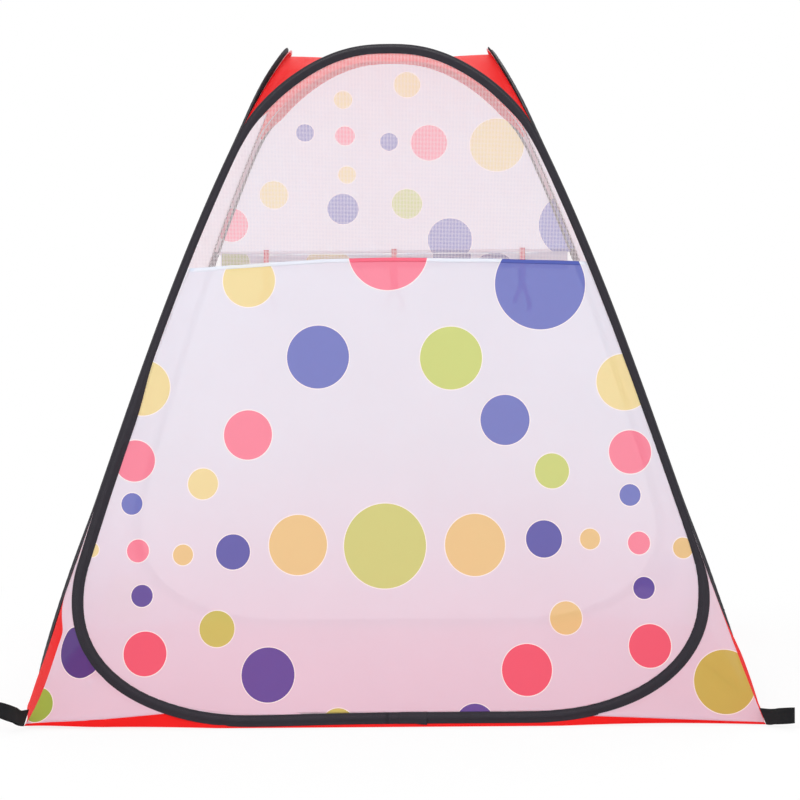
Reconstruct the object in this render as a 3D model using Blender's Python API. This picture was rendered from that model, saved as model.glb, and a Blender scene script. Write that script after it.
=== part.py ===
"""Kids pop-up play tent: four sprung hoop walls sewn edge to edge, with a red roof and floor.

Every wall is drawn once in its own sheet, where u runs along the base and s runs up the slope,
and is then turned about the middle of the tent. Lengths are in metres, +Z is up, and the tent
stands on z = 0 with its middle at the origin. The front wall, with the window, faces -Y.
"""

import math

import bmesh
import bpy
from mathutils import Vector

# The pyramid that the four walls make
BASE_SIDE = 1.200
HEIGHT = 1.107
CROWN_WIDTH = 0.342
WALL_BOW = 0.026

# The outline of each hoop inside its wall
HOOP_LIFT = 0.0053
FOOT_REACH = 0.372
FOOT_RISE = 0.268
ARCH_RISE = 0.166
ARCH_FULLNESS = 0.8

# The black sleeve that holds each hoop's wire
SLEEVE_WIDTH = 0.019
SLEEVE_EDGE = 0.0016
SLEEVE_SHOULDER = 0.0050
SLEEVE_CREST = 0.0056
SLEEVE_SKIN = 0.0006
SHOULDER_WIDTH = 0.010
CREST_WIDTH = 0.004
CHANNEL_WIDTH = 0.007
SLEEVE_MOUTH = 0.003
LAP_CENTRE = 0.038
LAP_LENGTH = 0.045
LAP_SKIN = 0.0007

# The spring wire and the crimped tube that joins its ends
WIRE_RADIUS = 0.0012
WIRE_END_GAP = 0.001
FERRULE_BORE = 0.0015
FERRULE_RADIUS = 0.0019
FERRULE_LENGTH = 0.036

# Cloth, hems and the window
CLOTH = 0.0008
NET = 0.0006
HEM_WIDTH = 0.013
HEM_THICKNESS = 0.0016
SILL_SLANT = 0.786
GUSSET_BASE_RISE = 0.021
GUSSET_CORNER_RISE = 0.004
GUSSET_CORNER_WIDTH = 0.002
GUSSET_TIP_WIDTH = 0.001
ROOF_DROP = 0.014
ROOF_SAG = 0.008

# The door, rolled up under the back wall's hem, and its ribbons
ROLL_RADIUS = 0.015
ROLL_PINCH = 0.002
ROLL_PINCH_WIDTH = 0.022
ROLL_END_GAP = 0.014
RIBBON_WIDTH = 0.010
RIBBON = 0.0008
RIBBON_SEWN = 0.010
RIBBON_TAIL = 0.085
SLING_START = math.radians(60)
SLING_TURN = math.radians(300)
RIBBON_SPACING_SHARE = 0.375

# The webbing loops that peg the corners down
WEBBING = 0.0013
WEBBING_WIDTH = 0.025
WEBBING_LIFT = 0.0005
PEG_LOOP_LENGTH = 0.056
PEG_LOOP_BULGE = 0.0085
PEG_LOOP_STANDOFF = 0.0005
PEG_LOOP_ROOT = math.radians(24)
PEG_LOOP_PARTING = math.radians(40)

# Gaps between pieces that lie against each other
SEAM_GAP = 0.00015
EDGE_GAP = 0.0003
LAP_GAP = 0.0004

# How finely curves are divided
FOOT_STEPS = 10
SIDE_STEPS = 6
ARCH_STEPS = 9
WIRE_SIDES = 6
FERRULE_SIDES = 10
ROLL_SIDES = 12
ROOF_STEPS = 12
LOOP_STEPS = 18
SLING_STEPS = 12

LEAN = math.atan2((BASE_SIDE - CROWN_WIDTH) / 2, HEIGHT)
SLANT = HEIGHT / math.cos(LEAN)
ARCH_START = SLANT - ARCH_RISE
CLOTH_INSET = SEAM_GAP + SLEEVE_WIDTH + EDGE_GAP
SIDES = {"front": 0, "right": 90, "back": 180, "left": -90}

COLOURS = {
    "binding": ((0.045, 0.044, 0.052, 1), 0.75, 0.0),
    "spring_steel": ((0.45, 0.45, 0.46, 1), 0.35, 1.0),
    "print_cloth": ((0.88, 0.84, 0.90, 1), 0.6, 0.0),
    "plain_cloth": ((0.88, 0.87, 0.90, 1), 0.6, 0.0),
    "net": ((0.90, 0.89, 0.92, 1), 0.6, 0.0),
    "red_cloth": ((0.72, 0.035, 0.045, 1), 0.6, 0.0),
    "ribbon": ((0.70, 0.03, 0.05, 1), 0.45, 0.0),
    "webbing": ((0.022, 0.022, 0.025, 1), 0.8, 0.0),
}


def clear_scene():
    for thing in list(bpy.data.objects):
        bpy.data.objects.remove(thing, do_unlink=True)


def material(slot):
    found = bpy.data.materials.get(slot)
    if found:
        return found
    colour, roughness, metallic = COLOURS[slot]
    made = bpy.data.materials.new(slot)
    made.use_nodes = True
    made.diffuse_color = colour
    shader = made.node_tree.nodes["Principled BSDF"]
    shader.inputs["Base Color"].default_value = colour
    shader.inputs["Roughness"].default_value = roughness
    shader.inputs["Metallic"].default_value = metallic
    return made


def add_object(name, mesh_data, slot, side="front"):
    """Make one piece from its bmesh, turned from the front to its own side of the tent."""
    bmesh.ops.recalc_face_normals(mesh_data, faces=mesh_data.faces)
    mesh = bpy.data.meshes.new(name)
    mesh_data.to_mesh(mesh)
    mesh_data.free()
    mesh.materials.append(material(slot))
    piece = bpy.data.objects.new(name, mesh)
    piece.rotation_euler[2] = math.radians(SIDES[side])
    bpy.context.collection.objects.link(piece)
    return piece


# The sloping wall surface

def bow(s):
    """How far the wall stands out from a flat sheet; it does so most at two thirds of its slope."""
    share = s / SLANT
    most = (2 / 3) ** 2 * (1 - 2 / 3)
    return WALL_BOW * share * share * (1 - share) / most


def half_width(s):
    """Half the wall's width from seam to seam, which is also how far it lies from the middle."""
    return BASE_SIDE / 2 - s * math.sin(LEAN) + bow(s) * math.cos(LEAN)


def height_at(s):
    return s * math.cos(LEAN) + bow(s) * math.sin(LEAN)


def wall_point(u, s, depth=0.0):
    """A point of the front wall: depth is measured outward from the wall's inner face."""
    out = half_width(s) + depth * math.cos(LEAN)
    return Vector((u, -out, height_at(s) + depth * math.sin(LEAN)))


# The hoop's outline, drawn on the wall's sheet

def raw_outline():
    """Right half of the hoop's outer line, from the middle of its foot to the top of its arch."""
    points = [(0.0, HOOP_LIFT)]
    for step in range(FOOT_STEPS + 1):
        turn = math.pi / 2 * step / FOOT_STEPS
        s = HOOP_LIFT + FOOT_RISE * (1 - math.cos(turn))
        points.append((half_width(s) - FOOT_REACH * (1 - math.sin(turn)), s))
    side_start = HOOP_LIFT + FOOT_RISE
    for step in range(1, SIDE_STEPS + 1):
        s = side_start + (ARCH_START - side_start) * step / SIDE_STEPS
        points.append((half_width(s), s))
    for step in range(1, ARCH_STEPS + 1):
        turn = math.pi / 2 * step / ARCH_STEPS
        s = ARCH_START + ARCH_RISE * math.sin(turn)
        points.append((half_width(s) * max(0.0, math.cos(turn)) ** ARCH_FULLNESS, s))
    return points


def inward_normals(points):
    normals = []
    for index in range(len(points)):
        if index in (0, len(points) - 1):
            normals.append((0.0, 1.0) if index == 0 else (0.0, -1.0))
            continue
        before, after = points[index - 1], points[index + 1]
        run, rise = after[0] - before[0], after[1] - before[1]
        size = math.hypot(run, rise)
        normals.append((-rise / size, run / size))
    # The straight foot ends where its curve begins, so the normal there is still upright.
    normals[1] = (0.0, 1.0)
    return normals


OUTLINE = raw_outline()
NORMALS = inward_normals(OUTLINE)


def inset_outline(inset):
    """The half outline moved in towards the middle of the wall."""
    return [
        (u + inset * along, s + inset * up)
        for (u, s), (along, up) in zip(OUTLINE, NORMALS)
    ]


def edge_at(s, inset):
    """Half the width inside the hoop at one slope height, above the hoop's foot."""
    line = inset_outline(inset)[1:]
    for (u0, s0), (u1, s1) in zip(line, line[1:]):
        if s0 <= s <= s1:
            return u0 + (u1 - u0) * (s - s0) / (s1 - s0)
    raise ValueError("that height is not beside the opening of the hoop")


# Shared mesh builders

def skin_rings(rings, closed=False):
    """Join rings of points, each of the same count, into one closed body."""
    body = bmesh.new()
    made = [[body.verts.new(point) for point in ring] for ring in rings]
    count = len(made[0])
    pairs = list(zip(made, made[1:])) + ([(made[-1], made[0])] if closed else [])
    for near, far in pairs:
        for index in range(count):
            after = (index + 1) % count
            body.faces.new((near[index], near[after], far[after], far[index]))
    if not closed:
        body.faces.new(made[0])
        body.faces.new(reversed(made[-1]))
    return body


def panel(rows, depth, thickness):
    """A sheet of cloth on the wall surface, from rows of (left u, right u, s)."""
    rings = [
        [
            wall_point(left, s, depth),
            wall_point(right, s, depth),
            wall_point(right, s, depth + thickness),
            wall_point(left, s, depth + thickness),
        ]
        for left, right, s in rows
    ]
    return skin_rings(rings)


def plate_with_hole(outer, inner, low, high):
    """A ring-shaped plan, its outer and inner lines of equal count, drawn up between two heights."""
    body = bmesh.new()
    loops = [
        [body.verts.new((x, y, z)) for x, y in line]
        for line, z in ((outer, low), (outer, high), (inner, high), (inner, low))
    ]
    count = len(outer)
    for near, far in zip(loops, loops[1:] + loops[:1]):
        for index in range(count):
            after = (index + 1) % count
            body.faces.new((near[index], near[after], far[after], far[index]))
    return body


# Hoops: sleeve, wire, ferrule and the lap that closes the sleeve

def hoop_stations(start, end):
    """Places round the whole hoop as (u, s, normal), from u = start round to u = end at its foot."""
    half = [(u, s, n) for (u, s), n in zip(OUTLINE, NORMALS)][1:]
    left = [(-u, s, (-n[0], n[1])) for u, s, n in reversed(half[:-1])]
    foot = (0.0, 1.0)
    return [(start, HOOP_LIFT, foot)] + half + left + [(end, HOOP_LIFT, foot)]


def section_ring(station, section):
    """Place a cross-section of (inset, depth) points at one station of the hoop."""
    u, s, (along, up) = station
    return [
        wall_point(u + inset * along, s + inset * up, depth) for inset, depth in section
    ]


def sleeve_crest():
    """The sleeve's outer face across its width, raised in the middle over the wire."""
    middle = SEAM_GAP + SLEEVE_WIDTH / 2
    return [
        (SEAM_GAP, SLEEVE_EDGE),
        (middle - SHOULDER_WIDTH / 2, SLEEVE_SHOULDER),
        (middle - CREST_WIDTH / 2, SLEEVE_CREST),
        (middle + CREST_WIDTH / 2, SLEEVE_CREST),
        (middle + SHOULDER_WIDTH / 2, SLEEVE_SHOULDER),
        (SEAM_GAP + SLEEVE_WIDTH, SLEEVE_EDGE),
    ]


def wire_depth():
    return SLEEVE_CREST / 2


def sleeve_channel():
    """The hollow that the wire lies in, with one point for each point of the sleeve's section."""
    middle = SEAM_GAP + SLEEVE_WIDTH / 2
    low, high = SLEEVE_SKIN, SLEEVE_CREST - SLEEVE_SKIN
    return [
        (middle - CHANNEL_WIDTH / 2, wire_depth()),
        (middle - CREST_WIDTH / 2, high),
        (middle - CREST_WIDTH / 4, high),
        (middle + CREST_WIDTH / 4, high),
        (middle + CREST_WIDTH / 2, high),
        (middle + CHANNEL_WIDTH / 2, wire_depth()),
        (middle + CHANNEL_WIDTH / 2, low),
        (middle - CHANNEL_WIDTH / 2, low),
    ]


def hoop_sleeve(side):
    """A flat tube of tape round the whole hoop, open where its two ends meet under the lap."""
    outer = sleeve_crest() + [(SEAM_GAP + SLEEVE_WIDTH, 0.0), (SEAM_GAP, 0.0)]
    stations = hoop_stations(LAP_CENTRE + SLEEVE_MOUTH / 2, LAP_CENTRE - SLEEVE_MOUTH / 2)
    body = bmesh.new()
    skins = [
        [[body.verts.new(point) for point in section_ring(station, section)] for station in stations]
        for section in (outer, sleeve_channel())
    ]
    pairs = [(near, far) for rings in skins for near, far in zip(rings, rings[1:])]
    pairs += [(skins[0][end], skins[1][end]) for end in (0, -1)]
    for near, far in pairs:
        for index in range(len(near)):
            after = (index + 1) % len(near)
            body.faces.new((near[index], near[after], far[after], far[index]))
    return add_object(f"{side}_hoop_sleeve", body, "binding", side)


def circle_section(inset, depth, radius, sides):
    turns = [2 * math.pi * index / sides for index in range(sides)]
    return [
        (inset + radius * math.cos(turn), depth + radius * math.sin(turn)) for turn in turns
    ]


def hoop_wire(side):
    middle = SEAM_GAP + SLEEVE_WIDTH / 2
    section = circle_section(middle, wire_depth(), WIRE_RADIUS, WIRE_SIDES)
    stations = hoop_stations(LAP_CENTRE + WIRE_END_GAP / 2, LAP_CENTRE - WIRE_END_GAP / 2)
    body = skin_rings([section_ring(station, section) for station in stations])
    return add_object(f"{side}_hoop_wire", body, "spring_steel", side)


def wire_ferrule(side):
    middle = SEAM_GAP + SLEEVE_WIDTH / 2
    foot = (0.0, 1.0)
    loops = []
    for radius in (FERRULE_RADIUS, FERRULE_BORE):
        section = circle_section(middle, wire_depth(), radius, FERRULE_SIDES)
        ends = [LAP_CENTRE - FERRULE_LENGTH / 2, LAP_CENTRE + FERRULE_LENGTH / 2]
        if radius == FERRULE_BORE:
            ends.reverse()
        loops += [section_ring((u, HOOP_LIFT, foot), section) for u in ends]
    body = skin_rings(loops, closed=True)
    return add_object(f"{side}_wire_ferrule", body, "spring_steel", side)


def sleeve_lap(side):
    """The free end of the sleeve's tape, stitched down over its start."""
    crest = sleeve_crest()
    under = [(inset, depth + LAP_GAP) for inset, depth in crest]
    over = [(inset, depth + LAP_GAP + LAP_SKIN) for inset, depth in reversed(crest)]
    foot = (0.0, 1.0)
    rings = [
        section_ring((LAP_CENTRE + end * LAP_LENGTH / 2, HOOP_LIFT, foot), under + over)
        for end in (-1, 1)
    ]
    return add_object(f"{side}_sleeve_lap", skin_rings(rings), "binding", side)


# Wall cloths

def opening_rows(low, high):
    """Rows of the space inside the hoop between two slope heights."""
    line = [point for point in inset_outline(CLOTH_INSET)[1:-1] if low < point[1] < high]
    rows = [(-u, u, s) for u, s in line]
    if low > HOOP_LIFT + FOOT_RISE:
        edge = edge_at(low, CLOTH_INSET)
        rows.insert(0, (-edge, edge, low))
    if high < ARCH_START:
        edge = edge_at(high, CLOTH_INSET)
        rows.append((-edge, edge, high))
    return rows


def lower_cloth(name, side, slot, top):
    body = panel(opening_rows(0.0, top), 0.0, CLOTH)
    return add_object(name, body, slot, side)


def upper_cloth(name, side, slot, thickness):
    body = panel(opening_rows(SILL_SLANT + HEM_WIDTH + EDGE_GAP, SLANT), 0.0, thickness)
    return add_object(name, body, slot, side)


def hem(name, side, slot):
    rows = opening_rows(SILL_SLANT, SILL_SLANT + HEM_WIDTH)
    return add_object(name, panel(rows, 0.0, HEM_THICKNESS), slot, side)


def full_cloth(side):
    body = panel(opening_rows(0.0, SLANT), 0.0, CLOTH)
    return add_object(f"{side}_wall_cloth", body, "plain_cloth", side)


def between(near, far, share):
    return tuple(start + (end - start) * share for start, end in zip(near, far))


def foot_line(low, high):
    """The line just outside the hoop's foot curve, cut exactly at the lower slope height."""
    line = inset_outline(SEAM_GAP - EDGE_GAP)[1:FOOT_STEPS + 2]
    points = [point for point in line if low < point[1] < high]
    for near, far in zip(line, line[1:]):
        if near[1] <= low <= far[1]:
            points.insert(0, between(near, far, (low - near[1]) / (far[1] - near[1])))
    return points


def corner_gusset(side, hand):
    """The cloth between the hoop's foot curve, the corner seam and the floor's turned-up edge."""
    corner = half_width(GUSSET_CORNER_RISE) - SEAM_GAP
    rows = [(corner - GUSSET_CORNER_WIDTH, corner, GUSSET_CORNER_RISE)]
    for u, s in foot_line(HOOP_LIFT + GUSSET_BASE_RISE, SLANT):
        row = (u, half_width(s) - SEAM_GAP, s)
        width, before = row[1] - row[0], rows[-1][1] - rows[-1][0]
        if len(rows) > 1 and width < GUSSET_TIP_WIDTH:
            rows.append(between(rows[-1], row, (before - GUSSET_TIP_WIDTH) / (before - width)))
            break
        rows.append(row)
    if hand == "left":
        rows = [(-right, -left, s) for left, right, s in rows]
    slot = "print_cloth" if side in ("front", "back") else "red_cloth"
    return add_object(f"{side}_gusset_{hand}", panel(rows, 0.0, CLOTH), slot, side)


# Floor and roof

def floor_sheet():
    """The groundsheet, which runs out under all four walls."""
    reach = half_width(0.0) + CLOTH * math.cos(LEAN)
    corners = [(-reach, -reach), (reach, -reach), (reach, reach), (-reach, reach)]
    rings = [[(x, y, rise) for x, y in corners] for rise in (0.0, CLOTH)]
    return add_object("floor", skin_rings(rings), "red_cloth")


def floor_edge(side):
    """The strip of floor cloth turned up at the wall's foot, under the hoop and the gussets."""
    high = HOOP_LIFT + GUSSET_BASE_RISE - EDGE_GAP
    foot, foot_rise = inset_outline(SEAM_GAP - EDGE_GAP)[1]
    beside_foot = foot_line(foot_rise, high)[1:] + [foot_line(high, SLANT)[0]]
    low = (CLOTH + EDGE_GAP) / math.cos(LEAN)
    columns = [(foot, foot, foot_rise)] + [(u, u, s) for u, s in beside_foot]
    corner_rise = GUSSET_CORNER_RISE - EDGE_GAP
    columns.append((half_width(low) - SEAM_GAP, half_width(corner_rise) - SEAM_GAP, corner_rise))
    columns = [(-under, -over, s) for under, over, s in reversed(columns)] + columns
    rings = [
        [
            wall_point(under, low, 0.0),
            wall_point(over, high_edge, 0.0),
            wall_point(over, high_edge, CLOTH),
            wall_point(under, low, CLOTH),
        ]
        for under, over, high_edge in columns
    ]
    return add_object(f"{side}_floor_edge", skin_rings(rings), "red_cloth", side)


def arch_slope(share):
    """The slope height of the roof's rim, just behind the sleeve, at a share of its half width."""
    across = abs(share) ** (1 / ARCH_FULLNESS)
    return ARCH_START + ARCH_RISE * math.sqrt(max(0.0, 1 - across * across)) - ROOF_DROP


def roof_surface(p, q):
    """The roof between the four arches, where p and q run from -1 to 1 across it."""
    top, foot = arch_slope(0.0), arch_slope(1.0)
    reach_p, reach_q = half_width(arch_slope(p)), half_width(arch_slope(q))
    reach = reach_p + reach_q - half_width(foot) - EDGE_GAP - SEAM_GAP
    drop = height_at(top) - height_at(foot)
    fall_p = (height_at(top) - height_at(arch_slope(p))) / drop
    fall_q = (height_at(top) - height_at(arch_slope(q))) / drop
    sag = ROOF_SAG * (1 - p * p) * (1 - q * q)
    return Vector((p * reach, q * reach, height_at(top) - drop * fall_p * fall_q - sag))


def roof_cloth():
    count = ROOF_STEPS + 1
    shares = [math.sin(math.pi / 2 * (2 * index / ROOF_STEPS - 1)) for index in range(count)]
    top = [[roof_surface(p, q) for p in shares] for q in shares]
    body = bmesh.new()
    upper = [[body.verts.new(point) for point in row] for row in top]
    lower = []
    for j in range(count):
        lower.append([])
        for i in range(count):
            run = top[j][min(i + 1, count - 1)] - top[j][max(i - 1, 0)]
            rise = top[min(j + 1, count - 1)][i] - top[max(j - 1, 0)][i]
            lower[-1].append(body.verts.new(top[j][i] - run.cross(rise).normalized() * CLOTH))
    for sheet in (upper, lower):
        for j in range(ROOF_STEPS):
            for i in range(ROOF_STEPS):
                body.faces.new((sheet[j][i], sheet[j][i + 1], sheet[j + 1][i + 1], sheet[j + 1][i]))
    rim = [(0, i) for i in range(count)] + [(j, ROOF_STEPS) for j in range(1, count)]
    rim += [(ROOF_STEPS, i) for i in range(ROOF_STEPS - 1, -1, -1)]
    rim += [(j, 0) for j in range(ROOF_STEPS - 1, 0, -1)]
    for (j0, i0), (j1, i1) in zip(rim, rim[1:] + rim[:1]):
        body.faces.new((upper[j0][i0], upper[j1][i1], lower[j1][i1], lower[j0][i0]))
    return add_object("roof_cloth", body, "red_cloth")


# The rolled door and its ribbons

def roll_centre():
    """Slope height and depth of the roll's axis, hanging under the middle of the hem."""
    hang = SILL_SLANT - EDGE_GAP - RIBBON - EDGE_GAP - ROLL_RADIUS
    return hang, HEM_THICKNESS / 2


def ribbon_places():
    reach = edge_at(SILL_SLANT, CLOTH_INSET) * 2 * RIBBON_SPACING_SHARE
    return {"left": -reach, "middle": 0.0, "right": reach}


def rolled_door():
    s, depth = roll_centre()
    reach = edge_at(s - ROLL_RADIUS, CLOTH_INSET) - ROLL_END_GAP
    pinch_shares = (-1, -0.5, 0, 0.5, 1)
    places = [-reach, reach]
    for place in ribbon_places().values():
        places += [place + share * ROLL_PINCH_WIDTH for share in pinch_shares]
    rings = []
    for u in sorted(places):
        nearest = min(abs(u - place) for place in ribbon_places().values())
        drawn_in = max(0.0, 1 - nearest / ROLL_PINCH_WIDTH)
        radius = ROLL_RADIUS - ROLL_PINCH * drawn_in
        section = circle_section(s, depth, radius, ROLL_SIDES)
        rings.append([wall_point(u, rise, out) for rise, out in section])
    return add_object("rolled_door", skin_rings(rings), "print_cloth", "back")


def door_ribbon(name, place):
    """A sling sewn to both faces of the hem, round under the roll, with its tail hanging."""
    s, depth = roll_centre()
    inner = ROLL_RADIUS - ROLL_PINCH / 2 + EDGE_GAP
    outer = inner + RIBBON
    top = SILL_SLANT + RIBBON_SEWN
    lines = []
    for radius, face in ((outer, HEM_THICKNESS / 2 + EDGE_GAP + RIBBON),
                         (inner, HEM_THICKNESS / 2 + EDGE_GAP)):
        line = [(depth + face, top), (depth + face, SILL_SLANT)]
        for step in range(SLING_STEPS + 1):
            turn = SLING_START - SLING_TURN * step / SLING_STEPS
            line.append((depth + radius * math.cos(turn), s + radius * math.sin(turn)))
        line += [(depth - face, SILL_SLANT), (depth - face, top)]
        lines.append(line)
    outside, inside = lines
    middle = len(outside) // 2
    low = s - outer - RIBBON_TAIL
    tail = [(depth + RIBBON / 2, s - outer), (depth + RIBBON / 2, low)]
    tail += [(depth - RIBBON / 2, low), (depth - RIBBON / 2, s - outer)]
    outside = outside[:middle] + tail + outside[middle + 1:]
    section = outside + inside[::-1]
    rings = [
        [wall_point(place + end * RIBBON_WIDTH / 2, rise, out) for out, rise in section]
        for end in (-1, 1)
    ]
    return add_object(f"door_ribbon_{name}", skin_rings(rings), "ribbon", "back")


# Webbing loops at the corners

def teardrop(offset, first, steps):
    """One face of the loop's webbing from a first turn on, as (out along the diagonal, across)."""
    points = []
    for step in range(steps + 1):
        turn = first + (2 * math.pi - 2 * first) * step / steps
        along = PEG_LOOP_LENGTH * (1 - math.cos(turn)) / 2
        across = PEG_LOOP_BULGE * math.sin(turn) * math.sin(turn / 2)
        step_along = PEG_LOOP_LENGTH * math.sin(turn) / 2
        step_across = PEG_LOOP_BULGE * (
            math.cos(turn) * math.sin(turn / 2) + math.sin(turn) * math.cos(turn / 2) / 2
        )
        size = math.hypot(step_along, step_across)
        points.append(
            (along - offset * step_across / size, across + offset * step_along / size)
        )
    return points


def peg_loop(name, angle):
    """One loop, stood on edge so that a peg drops through it, pointing out from its corner."""
    strands = teardrop(WEBBING / 2, PEG_LOOP_ROOT, LOOP_STEPS)
    outer = [(0.0, WEBBING)] + strands + [(0.0, -WEBBING)]
    inner = teardrop(-WEBBING / 2, PEG_LOOP_PARTING, LOOP_STEPS + 2)
    body = plate_with_hole(outer, inner, WEBBING_LIFT, WEBBING_LIFT + WEBBING_WIDTH)
    # The sewn root follows the corner of the tent as it leans in.
    for vertex in body.verts:
        if vertex.co.x == 0.0:
            vertex.co.x -= (vertex.co.z - WEBBING_LIFT) * math.tan(LEAN) * math.sqrt(2)
    loop = add_object(f"peg_loop_{name}", body, "webbing")
    corner = (half_width(0.0) + CLOTH * math.cos(LEAN)) * math.sqrt(2) + PEG_LOOP_STANDOFF
    turn = math.radians(angle)
    loop.location = (corner * math.cos(turn), corner * math.sin(turn), 0.0)
    loop.rotation_euler[2] = turn
    return loop


def build():
    clear_scene()
    for side in SIDES:
        hoop_sleeve(side)
        hoop_wire(side)
        wire_ferrule(side)
        sleeve_lap(side)
        floor_edge(side)
        for hand in ("left", "right"):
            corner_gusset(side, hand)
    lower_cloth("front_wall_cloth", "front", "print_cloth", SILL_SLANT - EDGE_GAP)
    hem("front_window_hem", "front", "print_cloth")
    upper_cloth("front_window_net", "front", "net", NET)
    upper_cloth("back_wall_cloth", "back", "print_cloth", CLOTH)
    hem("back_door_hem", "back", "print_cloth")
    for side in ("left", "right"):
        full_cloth(side)
    rolled_door()
    for name, place in ribbon_places().items():
        door_ribbon(name, place)
    floor_sheet()
    roof_cloth()
    corners = {"front_right": -45, "back_right": 45, "back_left": 135, "front_left": -135}
    for name, angle in corners.items():
        peg_loop(name, angle)


build()
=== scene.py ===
"""Looks of the kids pop-up play tent: cloth, net, binding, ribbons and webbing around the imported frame.

Every wall is drawn once in its own sheet, where u runs along the base and s runs up the slope, and is
then turned about the middle of the tent, as the solids are. Lengths are in metres, and the front wall,
with the window, faces -Y.
"""

import math

import bpy
import numpy as np
from mathutils import Matrix, Vector, noise


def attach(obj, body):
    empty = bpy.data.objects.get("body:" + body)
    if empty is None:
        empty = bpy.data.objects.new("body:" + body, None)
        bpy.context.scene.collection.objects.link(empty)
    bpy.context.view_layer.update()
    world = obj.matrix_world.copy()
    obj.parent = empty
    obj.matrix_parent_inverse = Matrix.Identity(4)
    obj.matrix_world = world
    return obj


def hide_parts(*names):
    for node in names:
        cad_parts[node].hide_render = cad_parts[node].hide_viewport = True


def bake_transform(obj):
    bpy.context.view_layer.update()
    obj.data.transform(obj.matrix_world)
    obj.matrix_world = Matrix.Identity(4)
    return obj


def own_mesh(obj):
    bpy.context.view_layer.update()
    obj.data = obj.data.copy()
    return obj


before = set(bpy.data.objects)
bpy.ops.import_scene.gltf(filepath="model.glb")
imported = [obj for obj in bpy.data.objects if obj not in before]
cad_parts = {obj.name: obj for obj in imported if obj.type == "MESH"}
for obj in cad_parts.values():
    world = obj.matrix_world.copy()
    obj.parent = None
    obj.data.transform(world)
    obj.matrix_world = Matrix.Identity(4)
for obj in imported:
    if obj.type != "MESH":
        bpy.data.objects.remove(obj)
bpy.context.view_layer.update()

# The tent's driving sizes, as the solids have them
BASE_SIDE = 1.200
HEIGHT = 1.107
CROWN_WIDTH = 0.342
WALL_BOW = 0.026
HOOP_LIFT = 0.0053
FOOT_REACH = 0.372
FOOT_RISE = 0.268
ARCH_RISE = 0.166
ARCH_FULLNESS = 0.8
SLEEVE_WIDTH = 0.019
SLEEVE_CREST = 0.0056
LAP_CENTRE = 0.038
LAP_LENGTH = 0.045
CLOTH = 0.0008
HEM_WIDTH = 0.013
HEM_THICKNESS = 0.0016
SILL_SLANT = 0.786
GUSSET_BASE_RISE = 0.021
GUSSET_CORNER_RISE = 0.004
ROOF_DROP = 0.014
ROOF_SAG = 0.008
ROLL_RADIUS = 0.015
ROLL_PINCH = 0.002
RIBBON_WIDTH = 0.010
RIBBON = 0.0008
RIBBON_TAIL = 0.085
RIBBON_SPACING_SHARE = 0.375
WEBBING = 0.0013
WEBBING_WIDTH = 0.025
PEG_LOOP_LENGTH = 0.056
PEG_LOOP_BULGE = 0.0085
SEAM_GAP = 0.00015
EDGE_GAP = 0.0003

LEAN = math.atan2((BASE_SIDE - CROWN_WIDTH) / 2, HEIGHT)
LEAN_COS, LEAN_SIN = math.cos(LEAN), math.sin(LEAN)
SLANT = HEIGHT / LEAN_COS
ARCH_START = SLANT - ARCH_RISE
FOOT_TOP = HOOP_LIFT + FOOT_RISE
CLOTH_INSET = SEAM_GAP + SLEEVE_WIDTH + EDGE_GAP
WALL_OUT = np.array([0.0, -LEAN_COS, LEAN_SIN])
SIDES = {"front": 0, "right": 90, "back": 180, "left": -90}

# The photograph's camera
PHOTO_SIZE = 800
PHOTO_FOCAL = 3252.5
SENSOR = 36.0
CAMERA_DISTANCE = 5.75
CAMERA_HEIGHT = 0.8267
CAMERA_AZIMUTH = math.radians(1.0)
CAMERA_YAW = math.radians(-0.131)
CAMERA_PITCH = math.radians(3.374)
CAMERA_ROLL = math.radians(-0.55)

# The printed dots: photograph pixels of the middle, radius in pixels, and ink
FRONT_DOTS = (
    (249, 281, 26, "yellow"), (318, 357, 31, "blue"), (388, 250, 40, "pink"),
    (540, 284, 45, "blue"), (451, 358, 31, "green"), (505, 420, 24.5, "blue"),
    (624, 382, 27.5, "yellow"), (143, 388, 27, "yellow"), (248, 435, 24, "pink"),
    (135, 461, 20, "pink"), (203, 484, 15, "yellow"), (132, 504, 10.5, "blue"),
    (92, 550, 7, "yellow"), (138, 551, 11, "pink"), (183, 555, 10, "orange"),
    (233, 552, 17, "violet"), (298, 545, 29, "orange"), (385, 546, 41, "leaf"),
    (475, 545, 30, "orange"), (544, 539, 18, "violet"), (590, 539, 10, "orange"),
    (639, 543, 11, "pink"), (683, 548, 10, "orange"), (630, 452, 21, "pink"),
    (552, 471, 17, "green"), (630, 495, 10.5, "blue"), (142, 596, 10.7, "purple"),
    (644, 588, 10.7, "purple"), (217, 629, 17.5, "moss"), (566, 618, 16, "orange"),
    (145, 654, 21.5, "red"), (650, 646, 21, "red"), (268, 675, 26.5, "purple"),
    (527, 670, 25, "red"), (338, 726, 17, "moss"), (475, 724, 19.5, "purple"),
)
FRONT_HEM_DOTS = slice(2, 4)
CORNER_DOTS = ((77, 653, 25, "plum"), (25, 708, 17, "lime"), (725, 682, 31, "olive"), (-200, 400, 10, "red"))
BACK_DOTS = (
    (343, 100, 9, "yellow"), (305, 133, 9, "blue"), (345, 136, 9.7, "pink"),
    (389, 142, 9, "blue"), (347, 175, 8.7, "yellow"), (274, 195, 14, "yellow"),
    (343, 209, 15.5, "blue"), (231, 225, 17, "pink"), (407, 85, 13, "yellow"),
    (429, 143, 18, "pink"), (497, 145, 27, "yellow"), (407, 204, 15, "green"),
    (450, 240, 22, "blue"), (572, 225, 33, "blue"),
)
ROLL_DOTS = (
    (229, 256, 21, "green"), (328, 252, 23, "yellow"), (452, 262, 19, "violet"), (494, 247, 19, "violet"),
)
DOT_STRETCH = 1.06
RIM = 0.0014


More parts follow.
